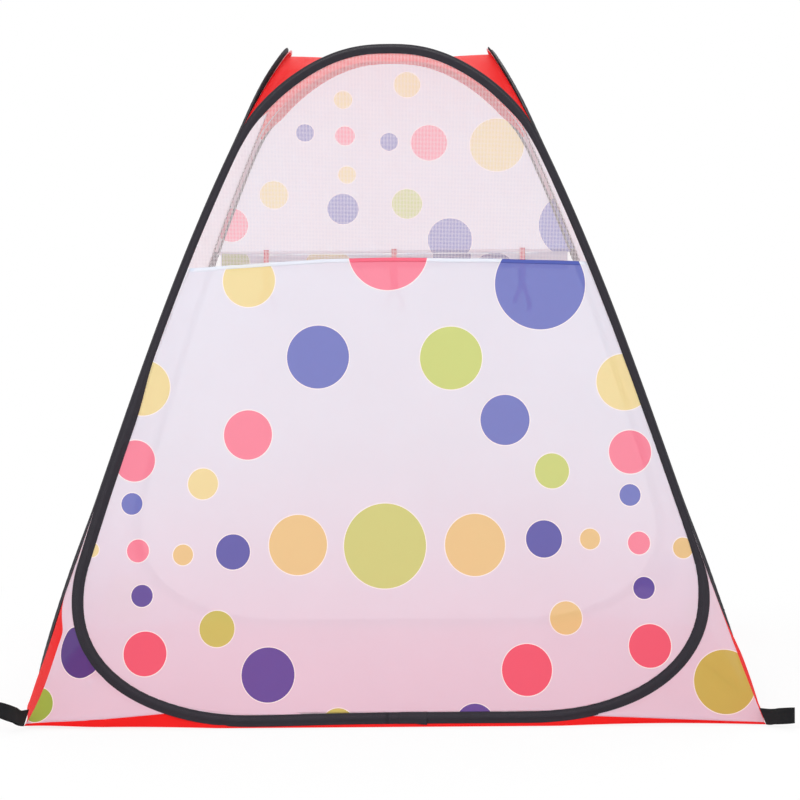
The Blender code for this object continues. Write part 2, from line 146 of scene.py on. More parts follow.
def srgb(*steps):
    """A colour given as 0 to 255 steps, as the linear numbers that a shader takes."""
    shares = (step / 255 for step in steps)
    return (*(part / 12.92 if part <= 0.04045 else ((part + 0.055) / 1.055) ** 2.4 for part in shares), 1.0)


INKS = {
    "yellow": srgb(242, 232, 168), "blue": srgb(118, 131, 204), "pink": srgb(250, 144, 166),
    "green": srgb(206, 226, 132), "violet": srgb(96, 96, 180), "orange": srgb(237, 212, 148),
    "leaf": srgb(210, 220, 132), "moss": srgb(208, 208, 112), "lime": srgb(160, 200, 80),
    "purple": srgb(102, 88, 170), "plum": srgb(84, 64, 142), "red": srgb(245, 102, 126),
    "olive": srgb(206, 196, 96),
}
# Painted shade: how much deeper an ink is painted where the cloth is doubled and lets less light through
DOUBLED_PAINTED_SHADE = 1.3
CLOTH_WHITE = srgb(232, 239, 249)
# Painted light: the pink that the printed cloth turns towards its foot stands in for the red floor's light
# glowing through it
PAINTED_FLOOR_GLOW_PINK = srgb(233, 220, 236)
PLAIN_WHITE = srgb(246, 242, 249)
# Painted light: a brighter white for cloth doubled under the binding, standing in for the light that the
# black binding behind it holds back
PAINTED_LIGHT_LINED_WHITE = srgb(252, 250, 255)
NET_WHITE = srgb(252, 252, 255)
RED_CLOTH, RED_CLOTH_DEEP = srgb(250, 26, 24), srgb(238, 20, 22)
RIBBON_RED, RIBBON_WORN = srgb(214, 30, 60), srgb(236, 60, 88)
BINDING_BLACK, BINDING_WORN = srgb(38, 35, 42), srgb(54, 50, 58)
WEBBING_BLACK, WEBBING_WORN = srgb(18, 18, 21), srgb(30, 30, 34)
STEEL_LIGHT, STEEL_DARK = srgb(150, 150, 154), srgb(112, 112, 118)
GROUND_GREY = srgb(240, 240, 240)
WHITE = (1, 1, 1, 1)


def doubled(ink):
    """An ink deepened as painted shade for doubled cloth, which lets less light through."""
    return tuple(part ** DOUBLED_PAINTED_SHADE for part in ink[:3]) + (1.0,)


# Short ways with arrays

def joined(*parts):
    """Points from their coordinates, given as arrays whose shapes fit together."""
    return np.stack(np.broadcast_arrays(*parts), axis=-1)


def unit(runs):
    return runs / np.linalg.norm(runs, axis=-1, keepdims=True)


def lengths(line):
    """How far along a line each of its points lies."""
    return np.concatenate([[0], np.cumsum(np.linalg.norm(np.diff(line, axis=0), axis=1))])


def places_at(wanted, along, line):
    """The points of a line that lie at the wanted lengths."""
    return joined(*(np.interp(wanted, along, part) for part in line.T))


def left_of(line):
    """Unit normals to a line's left."""
    run = unit(np.gradient(line, axis=0))
    return joined(-run[:, 1], run[:, 0])


def smooth_step(value, low, high):
    share = np.clip((value - low) / (high - low), 0, 1)
    return share * share * (3 - 2 * share)


def hump(share):
    """A rise and fall from 0 over 1 to 0, as share runs from 0 to 1."""
    return np.sin(math.pi * np.clip(share, 0, 1))


def noise_at(points):
    """Smooth, repeatable random values at points, about -1 to 1."""
    return np.array([noise.noise(Vector(p)) for p in points.reshape(-1, 3)]).reshape(points.shape[:-1])


def ripple(values, seed):
    return noise_at(joined(values, seed, 0.37 * seed))


def ring_of(count):
    return np.linspace(0, 2 * math.pi, count, endpoint=False)


# The sloping wall surface, on arrays

# The hem's dots are painted deeper, as shade for the doubled cloth
def bow(s):
    share = s / SLANT
    most = (2 / 3) ** 2 * (1 - 2 / 3)
    return WALL_BOW * share * share * (1 - share) / most


def half_width(s):
    return BASE_SIDE / 2 - s * LEAN_SIN + bow(s) * LEAN_COS


def height_at(s):
    return s * LEAN_COS + bow(s) * LEAN_SIN


def wall_points(u, s, depth=0.0):
    """Points of the front wall; depth is measured outward from the wall's inner face."""
    return joined(u, -(half_width(s) + depth * LEAN_COS), height_at(s) + depth * LEAN_SIN).astype(float)


def spun(degrees):
    """A turn about the upright, as a matrix for points in columns."""
    turn = math.radians(degrees)
    return np.array([[math.cos(turn), -math.sin(turn), 0], [math.sin(turn), math.cos(turn), 0], [0, 0, 1]])


def turned(points, side):
    return np.asarray(points) @ spun(SIDES[side]).T


def order(side):
    return list(SIDES).index(side)


# The hoop's outline

OUTLINE_STEPS = 40


def half_outline():
    """Right half of the hoop's outer line, from its straight foot's end to its arch's top."""
    turn = np.linspace(0, math.pi / 2, OUTLINE_STEPS + 1)
    s = HOOP_LIFT + FOOT_RISE * (1 - np.cos(turn))
    foot = joined(half_width(s) - FOOT_REACH * (1 - np.sin(turn)), s)
    s = np.linspace(FOOT_TOP, ARCH_START, OUTLINE_STEPS + 1)[1:]
    side = joined(half_width(s), s)
    s = ARCH_START + ARCH_RISE * np.sin(turn[1:])
    arch = joined(half_width(s) * np.maximum(0, np.cos(turn[1:])) ** ARCH_FULLNESS, s)
    return np.concatenate([foot, side, arch])


HALF = half_outline()
HALF_FROM_MIDDLE = np.concatenate([[(0.0, HOOP_LIFT)], HALF])
HALF_NORMALS = left_of(HALF)
HALF_NORMALS[0], HALF_NORMALS[-1] = (0, 1), (0, -1)
STATION_SPACING = 0.006


def inset_half(inset):
    return HALF + inset * HALF_NORMALS


def edge_at(s, inset):
    """Half the width of the space inside the hoop at slope heights s, for any inset."""
    line = inset_half(inset)
    return np.interp(s, np.maximum.accumulate(line[:, 1]), line[:, 0])


def hoop_line():
    """The whole hoop as even stations: (u, s), normals and lengths, from its foot's middle."""
    normal = np.concatenate([[(0.0, 1.0)], HALF_NORMALS])
    line, normal = (np.concatenate([half, half[::-1][1:] * (-1, 1)]) for half in (HALF_FROM_MIDDLE, normal))
    length = lengths(line)
    at = np.linspace(0, length[-1], int(length[-1] / STATION_SPACING), endpoint=False)
    return places_at(at, length, line), unit(places_at(at, length, normal)), at


def set_in(line, normal, inset):
    """The u and s of rows of places that are set in from a line's points."""
    at = line[:, None] + inset[..., None] * normal[:, None]
    return at[..., 0], at[..., 1]


# Meshes

def grid_faces(rows, columns, close_rows=False, close_columns=False):
    """The quads between a grid's points, closed into a ring where asked."""
    index = np.arange(rows * columns).reshape(rows, columns)
    down = np.roll(index, -1, axis=0) if close_rows else index[1:]
    near = index if close_rows else index[:-1]
    if close_columns:
        quads = (near, np.roll(near, -1, 1), np.roll(down, -1, 1), down)
    else:
        quads = (near[:, :-1], near[:, 1:], down[:, 1:], down[:, :-1])
    return joined(*quads).reshape(-1, 4)


def bar_faces(rows, around):
    """The faces of a closed bar: rows of points around it, and a cap at each end."""
    last = range((rows - 1) * around, rows * around)
    return [*grid_faces(rows, around, close_columns=True), range(around)[::-1], last]


LOOSE_SEAM = ("front_wall", "left_wall")


def bend_at_loose_seam(piece):
    """Cloth drawn in at the front left seam rides on neither wall; only its placement is baked into its mesh.
    """
    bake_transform(piece)


def add_piece(name, points, sheet, slot, body, node=None, faces=None, smooth=True, dots=None):
    """Make one piece from its points, with its place on its own cloth stored for the weave."""
    mesh = bpy.data.meshes.new(name)
    faces = grid_faces(*points.shape[:2]) if faces is None else faces
    mesh.from_pydata([tuple(p) for p in points.reshape(-1, 3)], [], [tuple(f) for f in faces])
    mesh.polygons.foreach_set("use_smooth", [smooth] * len(mesh.polygons))
    place = np.zeros((len(mesh.vertices), 3), np.float32)
    place[:, :sheet.shape[-1]] = sheet.reshape(-1, sheet.shape[-1])
    mesh.attributes.new("sheet", "FLOAT_VECTOR", "POINT").data.foreach_set("vector", place.ravel())
    mesh.materials.append(MATERIALS[slot])
    mesh.validate()
    piece = bpy.data.objects.new(name, mesh)
    bpy.context.collection.objects.link(piece)
    if body == LOOSE_SEAM:
        bend_at_loose_seam(piece)
    else:
        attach(piece, body)
    if node:
        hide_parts(node)
    if dots:
        print_dots(piece, dots)
    return piece


def add_to_wall(name, side, place, sheet, slot, *more, **named):
    """Make a piece from its places on a wall, as u, s and depth, and let it ride on that wall."""
    return add_piece(name, turned(wall_points(*place), side), sheet, slot, f"{side}_wall", *more, **named)


def read(source, key, kind, width=1):
    """One property of all of a mesh's elements, as an array."""
    values = np.zeros(len(source) * width, kind)
    source.foreach_get(key, values)
    return values.reshape(-1, width) if width > 1 else values


def places_on_cloth(mesh):
    return read(mesh.attributes["sheet"].data, "vector", np.float32, 3)


def print_dots(piece, dots):
    """Store, on each face's corners, the place within its nearest dot, so that rims stay sharp."""
    mesh = piece.data
    at = places_on_cloth(mesh)[read(mesh.loops, "vertex_index", np.int32), :2]
    totals = read(mesh.polygons, "loop_total", np.int32)
    owner = np.repeat(np.arange(len(totals)), totals)
    middle = joined(*(np.bincount(owner, part) / totals for part in at.T))
    centres, radii, inks = (np.array(part) for part in zip(*dots))
    away = np.linalg.norm(middle[:, None] - centres[None], axis=2) - radii[None]
    nearest = away.argmin(axis=1)[owner]
    radius = radii[nearest][:, None]
    dot = np.concatenate([(at - centres[nearest]) / (radius * (1, DOT_STRETCH)), radius], axis=1)
    for name, kind, key, values in (("dot", "FLOAT_VECTOR", "vector", dot),
                                    ("ink", "FLOAT_COLOR", "color", inks[nearest])):
        mesh.attributes.new(name, kind, "CORNER").data.foreach_set(key, values.astype(np.float32).ravel())


# Camera and the way from a photograph's pixel to the wall it shows

def camera_axes():
    """The camera's right, up and ahead."""
    turn = CAMERA_AZIMUTH + CAMERA_YAW
    ahead = Vector((-math.sin(turn) * math.cos(CAMERA_PITCH), math.cos(turn) * math.cos(CAMERA_PITCH),
                    -math.sin(CAMERA_PITCH)))
    right = ahead.cross(Vector((0, 0, 1))).normalized()
    up = right.cross(ahead)
    roll_right = right * math.cos(CAMERA_ROLL) + up * math.sin(CAMERA_ROLL)
    roll_up = up * math.cos(CAMERA_ROLL) - right * math.sin(CAMERA_ROLL)
    return roll_right, roll_up, ahead


CAMERA_PLACE = Vector((CAMERA_DISTANCE * math.sin(CAMERA_AZIMUTH),
                       -CAMERA_DISTANCE * math.cos(CAMERA_AZIMUTH), CAMERA_HEIGHT))


def add_camera():
    right, up, ahead = camera_axes()
    data = bpy.data.cameras.new("camera")
    data.sensor_width = SENSOR
    data.lens = PHOTO_FOCAL * SENSOR / PHOTO_SIZE
    camera = bpy.data.objects.new("camera", data)
    camera.matrix_world = Matrix.Translation(CAMERA_PLACE) @ Matrix((right, up, -ahead)).transposed().to_4x4()
    bpy.context.collection.objects.link(camera)
    bpy.context.scene.camera = camera


def seen_on_wall(x, y, side):
    """The (u, s) of the front or back wall that a pixel of the photograph shows, and its distance."""
    right, up, ahead = camera_axes()
    middle = PHOTO_SIZE / 2
    ray = ahead + right * ((x - middle) / PHOTO_FOCAL) - up * ((y - middle) / PHOTO_FOCAL)
    facing = -1 if side == "front" else 1
    heights = np.linspace(0, SLANT, 400)
    s = SLANT / 2
    for _ in range(30):
        reach = (facing * half_width(s) - CAMERA_PLACE.y) / ray.y
        s = float(np.interp(CAMERA_PLACE.z + reach * ray.z, height_at(heights), heights))
    return (-facing * (CAMERA_PLACE.x + reach * ray.x), s), reach


def dots_on_wall(table, side):
    found = []
    for x, y, radius, ink in table:
        place, reach = seen_on_wall(x, y, side)
        found.append((place, radius * reach / PHOTO_FOCAL, INKS[ink]))
    return found


# Materials

class Graph:
    """The node graph of a material or of the world, with short ways to add its nodes."""

    def __init__(self, name, world=False):
        self.owner = (bpy.data.worlds if world else bpy.data.materials).new(name)
        self.owner.use_nodes = True
        self.tree = self.owner.node_tree
        self.tree.nodes.clear()
        self.output = self.tree.nodes.new("ShaderNodeOutputWorld" if world else "ShaderNodeOutputMaterial")

    def add(self, kind, inputs=(), **settings):
        made = self.tree.nodes.new("ShaderNode" + kind)
        for key, value in settings.items():
            setattr(made, key, value)
        for key, value in dict(inputs).items():
            if isinstance(value, bpy.types.NodeSocket):
                self.tree.links.new(value, made.inputs[key])
            else:
                made.inputs[key].default_value = value
        return made

    def math(self, operation, first, second=0.0, third=0.0):
        return self.add("Math", {0: first, 1: second, 2: third}, operation=operation).outputs[0]

    def mix(self, share, first, second, blend="MIX"):
        return self.add("Mix", {0: share, 6: first, 7: second}, data_type="RGBA", blend_type=blend).outputs[2]

    def mix_shaders(self, share, first, second):
        return self.add("MixShader", {0: share, 1: first, 2: second}).outputs[0]

    def smooth_range(self, value, start, end, first, last):
        inputs = {0: value, 1: start, 2: end, 3: first, 4: last}
        return self.add("MapRange", inputs, interpolation_type="SMOOTHSTEP").outputs[0]

    def attribute(self, name, output="Vector"):
        return self.add("Attribute", attribute_name=name).outputs[output]

    def parts(self, name):
        """The three parts of an attribute. For the sheet these are the piece's own cloth coordinates u
        and s, in metres, and 1 where the cloth is doubled under the binding, or 0; there it glows less and
        takes a brighter white painted as light."""
        return self.add("SeparateXYZ", {0: self.attribute(name)}).outputs

    def noise(self, scale, detail=2.0, stretch=(1, 1, 1)):
        place = self.add("VectorMath", {0: self.attribute("sheet"), 1: stretch}, operation="MULTIPLY")
        noise = self.add("TexNoise", {"Vector": place.outputs[0], "Scale": scale, "Detail": detail})
        return noise.outputs["Fac"]

    def threads(self, pitch):
        """Height of a plain weave, from 0 to 1, with that many metres between its threads."""
        turn = 2 * math.pi / pitch
        waves = (self.math("SINE", self.math("MULTIPLY", place, turn)) for place in self.parts("sheet")[:2])
        return self.math("MULTIPLY_ADD", self.math("MULTIPLY", *waves), 0.5, 0.5)

    def bump(self, height, distance, under=None):
        inputs = {"Height": height, "Distance": distance, "Strength": 1.0}
        if under is not None:
            inputs["Normal"] = under
        return self.add("Bump", inputs).outputs[0]

    def seen(self):
        """1 for what the camera sees, straight, mirrored or through something, and 0 for other light."""
        path = self.add("LightPath").outputs
        beyond = self.math("MAXIMUM", path["Is Glossy Ray"], path["Is Transmission Ray"])
        return self.math("MAXIMUM", path["Is Camera Ray"], beyond)

    def finish(self, shader):
        self.tree.links.new(shader, self.output.inputs[0])
        return self.owner


WEAVE = 0.0011
WEAVE_DEPTH = 0.00012
SEE_THROUGH = 0.04
RED_SEE_THROUGH = 0.02
CLOTH_GLOW = 0.45
LINED_GLOW_LOSS = 0.4
RED_AND_NET_GLOW = 0.4
CRUMPLE_DEPTH = 0.004
RED_CRUMPLE_DEPTH = 0.006
# Slope height where the painted pink floor glow starts; it is full at the foot
PAINTED_GLOW_FROM = 0.52


def thin_cloth(graph, colour, normal, glow, see_through, sheen=0.15):
    """Cloth that is lit on its face, glows with light from behind and lets a little straight through."""
    face = graph.add("BsdfPrincipled", {
        "Base Color": colour, "Roughness": 0.6, "Normal": normal,
        "Sheen Weight": sheen, "Sheen Roughness": 0.4, "Specular IOR Level": 0.25,
    }).outputs[0]
    behind = graph.add("BsdfTranslucent", {"Color": colour, "Normal": normal}).outputs[0]
    lit = graph.mix_shaders(glow, face, behind)
    return graph.mix_shaders(see_through, lit, graph.add("BsdfTransparent").outputs[0])


def weave_normal(graph, crumple=CRUMPLE_DEPTH):
    soft = graph.bump(graph.noise(7.0, 3.0), crumple)
    return graph.bump(graph.threads(WEAVE), WEAVE_DEPTH, under=soft)


def sheer_cloth(graph, colour, lined_and_painted_light):
    """Finish a white cloth, which hardly glows and doesn't show through where it is doubled."""
    glow = graph.math("MULTIPLY_ADD", lined_and_painted_light, -LINED_GLOW_LOSS, CLOTH_GLOW)
    clear = graph.math("MULTIPLY_ADD", lined_and_painted_light, -SEE_THROUGH, SEE_THROUGH)
    return graph.finish(thin_cloth(graph, colour, weave_normal(graph), glow, clear))


def printed_cloth():
    """White cloth with a painted pink glow of the red floor's light towards its foot, and dots that have thin
    white rims.
    """
    graph = Graph("printed_cloth")
    _, s, lined_and_painted_light = graph.parts("sheet")
    # Painted light: pink towards the foot, for the red floor's glow
    ground = graph.mix(graph.smooth_range(s, PAINTED_GLOW_FROM, 0.0, 0.0, 1.0), CLOTH_WHITE, PAINTED_FLOOR_GLOW_PINK)
    mottle = graph.math("MULTIPLY_ADD", graph.noise(5.0), 0.06, 0.97)
    grey = graph.add("CombineColor", {0: mottle, 1: mottle, 2: mottle}).outputs[0]
    # Painted light: cloth doubled under the binding takes a brighter white in place of the light that the
    # binding holds back
    ground = graph.mix(lined_and_painted_light, graph.mix(1.0, ground, grey, "MULTIPLY"), PAINTED_LIGHT_LINED_WHITE)
    across, along, radius = graph.parts("dot")
    squares = (graph.math("MULTIPLY", part, part) for part in (across, along))
    away = graph.math("SQRT", graph.math("ADD", *squares))
    beyond = graph.math("MULTIPLY", graph.math("SUBTRACT", away, 1.0), radius)
    ground = graph.mix(graph.math("LESS_THAN", beyond, RIM), ground, WHITE)
    colour = graph.mix(graph.math("LESS_THAN", beyond, 0.0), ground, graph.attribute("ink", "Color"))
    return sheer_cloth(graph, colour, lined_and_painted_light)


def plain_cloth():
    graph = Graph("plain_cloth")
    lined_and_painted_light = graph.parts("sheet")[2]
    colour = graph.mix(graph.noise(5.0), CLOTH_WHITE, PLAIN_WHITE)
    # Painted light: cloth doubled under the binding takes a brighter white in place of the light that the
    # binding holds back
    return sheer_cloth(graph, graph.mix(lined_and_painted_light, colour, PAINTED_LIGHT_LINED_WHITE), lined_and_painted_light)


def red_cloth():
    graph = Graph("red_cloth")
    colour = graph.mix(graph.noise(6.0), RED_CLOTH, RED_CLOTH_DEEP)
    normal = weave_normal(graph, RED_CRUMPLE_DEPTH)
    return graph.finish(thin_cloth(graph, colour, normal, RED_AND_NET_GLOW, RED_SEE_THROUGH, sheen=0.05))


NET_PITCH = 0.0024
NET_THREAD_SHARE = 0.28


def net():
    """A square mesh, clear between its threads."""
    graph = Graph("net")
    cells = (graph.math("DIVIDE", place, NET_PITCH) for place in graph.parts("sheet")[:2])
    threads = (graph.math("LESS_THAN", graph.math("FRACT", cell), NET_THREAD_SHARE) for cell in cells)
    solid = graph.math("MAXIMUM", *threads)
    lit = thin_cloth(graph, NET_WHITE, graph.bump(solid, 0.0003), RED_AND_NET_GLOW, 0.0)
    return graph.finish(graph.mix_shaders(solid, graph.add("BsdfTransparent").outputs[0], lit))


def tape(name, colour, paler, rib, depth, roughness, sheen):
    """Narrow woven tape, ribbed across its length, a little worn in random patches."""
    graph = Graph(name)
    along, across, _ = graph.parts("sheet")
    ribs = graph.math("SINE", graph.math("MULTIPLY", along, 2 * math.pi / rib))
    twill = graph.math("SINE", graph.math("MULTIPLY", graph.math("ADD", along, across), 4 * math.pi / rib))
    height = graph.math("MULTIPLY_ADD", graph.math("ADD", ribs, twill), 0.25, 0.5)
    worn = graph.math("MULTIPLY", graph.noise(60.0, 4.0), 0.6)
    soft = graph.bump(graph.noise(25.0, 2.0, (1, 3, 1)), 0.0012)
    return graph.finish(graph.add("BsdfPrincipled", {
        "Base Color": graph.mix(worn, colour, paler), "Roughness": roughness,
        "Normal": graph.bump(height, depth, under=soft),
        "Sheen Weight": sheen, "Sheen Roughness": 0.35, "Specular IOR Level": 0.2,
    }).outputs[0])


def spring_steel():
    graph = Graph("spring_steel")
    grain = graph.add("TexNoise", {"Scale": 180.0, "Detail": 3.0}).outputs["Fac"]
    return graph.finish(graph.add("BsdfPrincipled", {
        "Base Color": graph.mix(grain, STEEL_LIGHT, STEEL_DARK), "Metallic": 1.0,
        "Roughness": graph.math("MULTIPLY_ADD", grain, 0.2, 0.25), "Normal": graph.bump(grain, 0.00005),
    }).outputs[0])


MATERIALS = {
    "print_cloth": printed_cloth(),
    "plain_cloth": plain_cloth(),
    "red_cloth": red_cloth(),
    "net": net(),
    "binding": tape("binding", BINDING_BLACK, BINDING_WORN, 0.0012, 0.0002, 0.6, 0.06),
    "webbing": tape("webbing", WEBBING_BLACK, WEBBING_WORN, 0.0022, 0.0005, 0.75, 0.04),
    "ribbon": tape("ribbon", RIBBON_RED, RIBBON_WORN, 0.0007, 0.0001, 0.38, 0.3),
    "spring_steel": spring_steel(),
}


# Hoop sleeves

# Share of the width, and height in millimetres, once round the sleeve; the first rows are its outer face
SLEEVE_SECTION = (
    (0.00, 0.55), (0.03, 0.95), (0.10, 1.30), (0.20, 2.05), (0.28, 3.10), (0.36, 4.35), (0.43, 5.25),
    (0.50, 5.60), (0.57, 5.25), (0.64, 4.35), (0.72, 3.10), (0.80, 2.05), (0.90, 1.30), (0.97, 0.95),
    (1.00, 0.55), (0.97, 0.06), (0.50, 0.00), (0.03, 0.06),
)
SECTION_CREST = 5.6
OUTER_ROWS = 15
TAPE_ROUND = 0.045
PUCKER_LENGTH = 0.019
PUCKER = 0.0004
DRIFT = 0.0004
FRONT_SLACK = ((-0.535, 0.21, 0.12, 0.0050), (-0.22, 0.0053, 0.12, -0.0032), (0.57, 0.30, 0.08, 0.0012))
OTHER_SLACK = 0.0006
FULL_BAND = (SEAM_GAP, SEAM_GAP + SLEEVE_WIDTH)
SEAMED_BAND = (0.0003, 0.0120)
SEAMED_FROM = 0.26
FRONT_SEAMED_FROM = (0.50, 0.19)
SEAMED_OVER = 0.13
SEAMED_CREST = 0.5
ARCH_TWIST = {"left": 0.0075, "right": 0.0025, "back": 0.0015, "front": 0.0}
WIRE_RADIUS = 0.0009
WIRE_DEPTH = 0.0028
STITCH_COLUMN = 12
STITCH_PITCH = 0.0034
STITCH_LENGTH = 0.0023
THREAD = 0.00045
SEAM_CORD = 0.0007
SEAM_CORD_FROM = 0.20
LAP = 0.0008


def seamed(side, u, s):
    """1 where a sleeve is folded round the corner seam and shows half its width, 0 where it lies flat."""
    start = np.where(u < 0, *FRONT_SEAMED_FROM) if side == "front" else SEAMED_FROM
    ending = smooth_step(s, ARCH_START - 0.04, ARCH_START + 0.07)
    return smooth_step(s, start, start + SEAMED_OVER) * (1 - ending)


def slack_at(side, u, s):
    """How far a hoop has settled inward on the cloth, which the photograph shows at the front."""
    if side != "front":
        return OTHER_SLACK * np.sin(5 * u + 3 * s)
    return sum(size * np.exp(-((u - middle_u) ** 2 + (s - middle_s) ** 2) / spread ** 2)
               for middle_u, middle_s, spread, size in FRONT_SLACK)


def sleeve_twist(side, s):
    """How far the sleeve's outer edge turns out from the wall, round the top of the arch."""
    return ARCH_TWIST[side] * smooth_step(s, ARCH_START + 0.01, SLANT - 0.05)


def band_edges(side, u, s):
    """The sleeve's outer and inner edge at a place, as distances inward of the hoop's outer line."""
    share, slack = seamed(side, u, s), slack_at(side, u, s)
    return tuple(full + (tight - full) * share + slack for full, tight in zip(FULL_BAND, SEAMED_BAND))


def stitches(side, row, along):
    """The row of stitches that closes a sleeve along its inner edge, each one a short raised bar."""
    row, along = np.concatenate([row, row[:1]]), np.append(along, 2 * along[-1] - along[-2])
    count = int(along[-1] / STITCH_PITCH)
    middle = (np.arange(count) + 0.5) * along[-1] / count
    ends = [wall_points(*places_at(middle + hand * STITCH_LENGTH / 2, along, row).T) for hand in (-1, 1)]
    beside = np.cross(unit(ends[1] - ends[0]), WALL_OUT)
    corners = [end + THREAD * (across * beside + up * WALL_OUT) for end in ends
               for across, up in ((-0.5, -0.5), (0.5, -0.5), (0.3, 0.5), (-0.3, 0.5))]
    box = ((0, 1, 2, 3), (7, 6, 5, 4), (0, 4, 5, 1), (1, 5, 6, 2), (2, 6, 7, 3), (3, 7, 4, 0))
    faces = (8 * np.arange(count)[:, None, None] + np.array(box)).reshape(-1, 4)
    sheet = joined(middle[:, None], np.arange(8) * THREAD)
    add_piece(f"{side}_stitches", turned(np.stack(corners, axis=1), side), sheet, "binding", f"{side}_wall",
              faces=faces, smooth=False)


def hoop_sleeve(side):
    """The binding all round a wall, with its stitches and the wire inside it."""
    line, normal, along = hoop_line()
    at_hoop = side, *line.T
    across, height = (np.array(SLEEVE_SECTION) * (1, SLEEVE_CREST / SECTION_CREST)).T
    bend = np.abs(np.gradient(np.unwrap(np.arctan2(normal[:, 1], normal[:, 0])), along))
    seed = 1.0 + order(side)
    wave = np.sin(2 * math.pi * along / PUCKER_LENGTH + 2.5 * ripple(along * 9, seed))
    pucker = (PUCKER * wave * (0.25 + np.minimum(1, bend / 3)))[:, None]
    drift = (DRIFT * ripple(along * 14, seed + 7))[:, None]
    outer, inner = (edge[:, None] for edge in band_edges(*at_hoop))
    crest = (1 - (1 - SEAMED_CREST) * seamed(*at_hoop))[:, None]
    twist = sleeve_twist(side, line[:, 1])[:, None]
    raised = np.where(height > 0.0002, 1.0, 0.0)
    depth = height * crest + raised * (pucker * across ** 2 + 0.3 * drift)
    depth = np.maximum(depth, 0.0) + twist * (1 - across)
    u, s = set_in(line, normal, outer + (inner - outer) * across + drift * across)
    sheet = joined(along[:, None], np.linspace(0, TAPE_ROUND, len(across), endpoint=False))
    add_to_wall(f"{side}_sleeve", side, (u, s, depth), sheet, "binding", f"{side}_hoop_sleeve",
                grid_faces(*u.shape, True, True))
    stitches(side, joined(u, s, depth)[:, STITCH_COLUMN], along)
    ring = ring_of(10)
    u, s = set_in(line, normal, (outer + inner) / 2 + WIRE_RADIUS * np.cos(ring))
    depth = WIRE_DEPTH * crest + WIRE_RADIUS * np.sin(ring) + twist / 2
    sheet = joined(along[:, None], ring * WIRE_RADIUS)
    add_to_wall(f"{side}_wire", side, (u, s, depth), sheet, "spring_steel", f"{side}_hoop_wire",
                grid_faces(*u.shape, True, True))


def seam_cord(side, hand, body):
    """The piped seam that joins two walls at a corner, from the gussets up to the arches."""
    s = np.linspace(SEAM_CORD_FROM, ARCH_START - 0.005, 90)
    ring = ring_of(8)
    radius = SEAM_CORD * np.interp(s, [s[0], s[4], s[-5], s[-1]], [0.2, 1, 1, 0.2])[:, None]
    out = half_width(s)[:, None]
    x, y = hand * (out + radius * np.cos(ring)), -(out + radius * np.sin(ring))
    points = turned(joined(x, y, height_at(s)[:, None]), side)
    add_piece(f"{side}_seam_{'left' if hand < 0 else 'right'}", points, joined(s[:, None], ring * SEAM_CORD),
              "binding", body, faces=grid_faces(*x.shape, False, True))


def closed(layers):
    """Rows of points round a thin band, out along its face and back along its other face."""
    return np.concatenate([layers[0], layers[1][:, ::-1]], axis=1)


def sleeve_lap(side):
    """The tape's free end, folded under and stitched down over its start."""
    share = np.linspace(0, 1, 26)
    u = (LAP_CENTRE - LAP_LENGTH / 2 + LAP_LENGTH * share)[:, None]
    across, height = (np.array(SLEEVE_SECTION[:OUTER_ROWS]) * (SLEEVE_WIDTH, SLEEVE_CREST / SECTION_CREST)).T
    over = np.interp(share, [0, 0.1, 0.9, 1.0], [0.0004, 0.0011, 0.0012, 0.0009])[:, None]
    sag = np.interp(share, [0, 0.55, 1.0], [0.0, 0.0, -0.0022])[:, None]
    s = HOOP_LIFT + (SEAM_GAP + across + sag * (1 - across / SLEEVE_WIDTH))
    ring = closed([wall_points(u, s, height + lift) for lift in (over, over - LAP)])
    sheet = joined(u, np.linspace(0, TAPE_ROUND, ring.shape[1]))
    add_piece(f"{side}_lap", turned(ring, side), sheet, "binding", f"{side}_wall", f"{side}_sleeve_lap",
              bar_faces(*ring.shape[:2]))


# Wall cloths

EDGE_TUCK = 0.018
LINING = 0.0004
EDGE_CROWDING = 1.7
CLOTH_WAVE = 0.0011
NET_WAVE = 0.0008
HEM_SAG = ((-0.36, 0.021), (-0.30, 0.018), (-0.19, 0.010), (-0.09, 0.005), (0.00, 0.004), (0.16, 0.007),
           (0.34, 0.014))
HEM_WAVE = 0.0005
HEM_SHOWN = 0.0065
# The hem's share of the doubled-cloth finish: it glows less, and its lighter, warmer white is painted light
# for the glow it lacks
HEM_DOUBLED_AND_PAINTED_LIGHT = 0.4
HEM_FULLNESS = 1.75
# Share of the width, and depth in cloth thicknesses, once round the hem
HEM_PROFILE = ((0, 0.2), (0, 1), (0.12, 1.75), (0.5, 1.55), (0.88, 1.75), (1, 1), (1, 0.2), (0.5, -0.1))
WINDOW_FOOT = SILL_SLANT + HEM_WIDTH / 2


def creased(u, s, seed, size):
    """Soft waves of tight cloth: long shallow folds and a little crumple."""
    wide = noise_at(joined(u * 4.1 + seed, s * 3.3, 0.7 * seed))
    fine = noise_at(joined(u * 13 + seed, s * 9, 1.9 * seed))
    return size * (wide + 0.35 * fine)


def inward_of_hoop(u, s):
    """Distance from the hoop's outer line, on arrays."""
    away = joined(np.abs(u).ravel(), s.ravel())[:, None] - HALF_FROM_MIDDLE[:-1]
    run = np.diff(HALF_FROM_MIDDLE, axis=0)
    share = (away * run).sum(axis=2) / (run * run).sum(axis=1)
    return np.linalg.norm(away - np.clip(share, 0, 1)[..., None] * run, axis=2).min(axis=1).reshape(u.shape)


